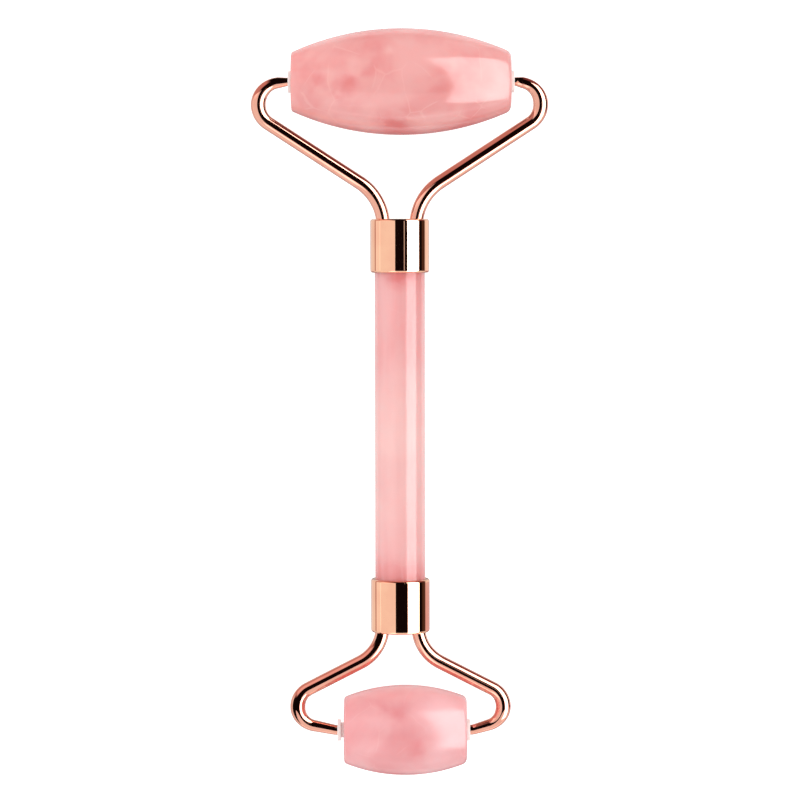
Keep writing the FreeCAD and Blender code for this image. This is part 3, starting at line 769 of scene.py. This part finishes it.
def softbox(name, bearing, tilt, distance, width, length, radiance, slide=0.0, twist=0.0):
    """A rectangular light aimed at the object, seen in reflections but not by the camera. Its
    bearing is 0 on the right and 90 behind the large head; tilt is its angle from overhead, and
    twist turns it about its own middle."""
    light = bpy.data.lights.new(name, "AREA")
    light.shape = "RECTANGLE"
    light.size, light.size_y = width, length
    light.energy = radiance * width * length * math.pi
    around, lean = math.radians(bearing), math.radians(tilt)
    flat = Vector((math.cos(around), math.sin(around), 0))
    back = flat * math.sin(lean) + Vector((0, 0, math.cos(lean)))
    along = Vector((-flat.y, flat.x, 0))
    top = Matrix.Rotation(math.radians(twist), 3, back) @ along
    lamp = bpy.data.objects.new(name, light)
    lamp.location = middle + back * distance + top * slide
    lamp.rotation_mode = "QUATERNION"
    lamp.rotation_quaternion = facing(back, top)
    lamp.visible_camera = False
    lamp.visible_diffuse = False
    bpy.context.scene.collection.objects.link(lamp)
    return lamp


def spanning(distance, start, end):
    """Width of a softbox that is seen from one angle to another."""
    return 2 * distance * math.tan(math.radians(end - start) / 2)


def lit_only(lamp, receivers):
    """A light that only these pieces receive."""
    group = bpy.data.collections.new(lamp.name + "_receivers")
    for piece in receivers:
        group.objects.link(piece)
    lamp.light_linking.receiver_collection = group


# The bands on the metal are reflections of the boxes at both sides and of the dark gap between
# them. The stones have a box of their own, because their highlight lies in another place, and
# one arm is lit from further round the back in place of the left.
CLOSE, FURTHER = 0.45, 0.5
key = softbox("softbox_right", bearing=0, tilt=55, distance=CLOSE,
              width=spanning(CLOSE, 30, 80), length=1.07, radiance=4.6, slide=0.085)
lit_only(key, [piece for name, piece in pieces.items() if "roller" not in name])
roller_key = softbox("softbox_rollers", bearing=0, tilt=55, distance=CLOSE,
                     width=0.54, length=1.2, radiance=4.8, slide=0.11, twist=7)
lit_only(roller_key, [piece for name, piece in pieces.items() if "roller" in name])
left_light = softbox("softbox_left", bearing=180, tilt=51.5, distance=CLOSE,
                     width=spanning(CLOSE, 18, 85), length=1.03, radiance=0.97, slide=0.21)
lit_only(left_light, [piece for name, piece in pieces.items() if name != "small_left_wire_arm"])
softbox("softbox_near", bearing=270, tilt=56.5, distance=FURTHER,
        width=spanning(FURTHER, 23, 90), length=0.9, radiance=1.0, slide=0.12)
softbox("strip_right", bearing=0, tilt=17.6, distance=CLOSE,
        width=0.024, length=0.14, radiance=0.6, slide=0.06)
far_light = softbox("softbox_far", bearing=120, tilt=66.5, distance=FURTHER,
                    width=spanning(FURTHER, 41, 92), length=0.7, radiance=0.35)
lit_only(far_light, [pieces["small_left_wire_arm"]])

# The large stone's pink reflection would cover a third of the wire beside it
pieces["large_quartz_roller"].visible_glossy = False

world = bpy.data.worlds.new("studio")
bpy.context.scene.world = world
world.use_nodes = True
sky = Nodes(world.node_tree)
path = sky.node("LightPath").outputs
direction = sky.node("TexCoord").outputs["Generated"]
towards = sky.node("SeparateXYZ", {"Vector": direction}).outputs


def when(value, low, high):
    """0 to 1 as a value goes from low to high."""
    return sky.range(value, low, high, ends="LINEAR")


def grey(value):
    """A grey for the world's colours."""
    return (value, value, value)


# What reflections see. Height goes from 0, straight down, by 0.5, level, to 1, straight up. On
# every side there is a pale table, darker right under the object, often a tinted gap above it,
# and the dark from which the softboxes stand out.
height = when(towards["Z"], -1.0, 1.0)


def ramp(*stops):
    """Colour that follows the height through (height, colour) stops."""
    made = sky.node("ValToRGB", {"Fac": height})
    elements = made.color_ramp.elements
    while len(elements) < len(stops):
        elements.new(0.5)
    for element, (place, red_green_blue) in zip(elements, stops):
        element.position = place
        element.color = (*red_green_blue, 1)
    return made.outputs["Color"]


def right_ramp(table_colour):
    """The right side, with a table of this colour."""
    return ramp((0.0, grey(0.3)), (0.05, table_colour), (0.25, table_colour),
                (0.30, right_gap), (0.42, right_gap), (0.46, darkness))


left_gap, right_gap = (0.45, 0.24, 0.20), (0.075, 0.038, 0.024)
far_gap, near_gap = (0.24, 0.08, 0.08), (0.3, 0.18, 0.18)
blush, haze, darkness = (0.76, 0.53, 0.58), (0.66, 0.38, 0.36), (0.006, 0.003, 0.003)
left_side = ramp((0.0, grey(0.3)), (0.05, grey(0.9)), (0.28, grey(0.9)), (0.29, left_gap),
                 (0.33, left_gap), (0.34, grey(1.0)), (0.54, grey(1.0)), (0.56, darkness))
right_side = sky.mix(when(towards["Y"], -0.10, -0.118), right_ramp(grey(1.0)), right_ramp(blush))
near_side = ramp((0.0, near_gap), (0.1, near_gap), (0.2, grey(0.9)), (0.54, grey(0.9)),
                 (0.56, darkness))
far_left = ramp((0.0, grey(0.3)), (0.05, grey(0.8)), (0.18, grey(0.8)), (0.22, haze),
                (0.84, haze), (0.87, darkness))
far_middle = ramp((0.0, grey(0.3)), (0.04, grey(0.8)), (0.20, grey(0.8)), (0.26, darkness))
far_right = ramp((0.0, grey(0.3)), (0.04, grey(0.8)), (0.18, grey(0.8)), (0.22, far_gap),
                 (0.66, far_gap), (0.70, darkness))

sides = sky.mix(when(towards["X"], -0.05, 0.05), left_side, right_side)
sides = sky.mix(when(towards["Y"], -0.15, -0.35), sides, near_side)
far_leftness = sky.math("MULTIPLY", when(towards["X"], -0.2, -0.35),
                        when(towards["Y"], 0.25, 0.45))
sides = sky.mix(far_leftness, sides, far_left)
far_side = sky.mix(when(towards["X"], 0.1, 0.3), far_middle, far_right)
leftward = sky.math("MINIMUM", towards["X"], 0.0)
behind = sky.math("ADD", towards["Y"], sky.math("MULTIPLY", leftward, 1.5))
reflected = sky.mix(when(behind, 0.2, 0.45), sides, far_side)

# Soft light from all round, a little stronger from behind the large head and from below
FILL, FILL_LEAN = 1.19, (0.0, 0.15, -0.15)
BACKDROP = (0.95, 0.95, 0.95, 1)
fill = sky.math("ADD", sky.vector("DOT_PRODUCT", direction, FILL_LEAN), FILL)
seen = sky.mix(path["Is Glossy Ray"], fill, reflected)
seen = sky.mix(path["Is Camera Ray"], seen, BACKDROP)
sky.links.new(seen, sky.nodes["Background"].inputs["Color"])

# Pale table, at the slight slope that lets both rollers touch it
TABLE = 4.0         # metres from the object to the table's edges
large_low, large_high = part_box("large_roller_stone")
small_low, small_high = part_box("small_roller_stone")
large_y, small_y = (large_low.y + large_high.y) / 2, (small_low.y + small_high.y) / 2
slope = (large_low.z - small_low.z) / (large_y - small_y)
corners = [(x, y, large_low.z + slope * (y - large_y))
           for x, y in ((-TABLE, -TABLE), (TABLE, -TABLE), (TABLE, TABLE), (-TABLE, TABLE))]
table_mesh = bpy.data.meshes.new("table_top")
table_mesh.from_pydata(corners, [], [(0, 1, 2, 3)])
table = bpy.data.objects.new("table_top", table_mesh)
bpy.context.scene.collection.objects.link(table)
table_shader = Shader("pale_table")
table_shader.set(Base_Color=(0.8, 0.8, 0.8, 1), Roughness=0.9, Emission_Strength=0.6,
                 Emission_Color=(1, 1, 1, 1), Specular_IOR_Level=0.0)
table_mesh.materials.append(table_shader.material)
table.visible_glossy = False
table.visible_diffuse = False

# Camera, almost straight above. Its place and aim are millimetres from the handle's middle.
CAMERA_AT, CAMERA_AIM = Vector((0, 29.5, 562.2)), Vector((0, 0.72, 0))
CAMERA_ROLL = math.radians(0.1)
camera_data = bpy.data.cameras.new("camera")
camera_data.lens = 130.5
camera_data.sensor_width = 36.0
camera = bpy.data.objects.new("camera", camera_data)
camera.location = middle + CAMERA_AT * MM
camera.rotation_mode = "QUATERNION"
camera_top = Vector((math.sin(CAMERA_ROLL), math.cos(CAMERA_ROLL), 0))
camera.rotation_quaternion = facing(camera.location - middle - CAMERA_AIM * MM, camera_top)
bpy.context.scene.collection.objects.link(camera)
bpy.context.scene.camera = camera
bpy.context.scene.view_settings.view_transform = "Standard"
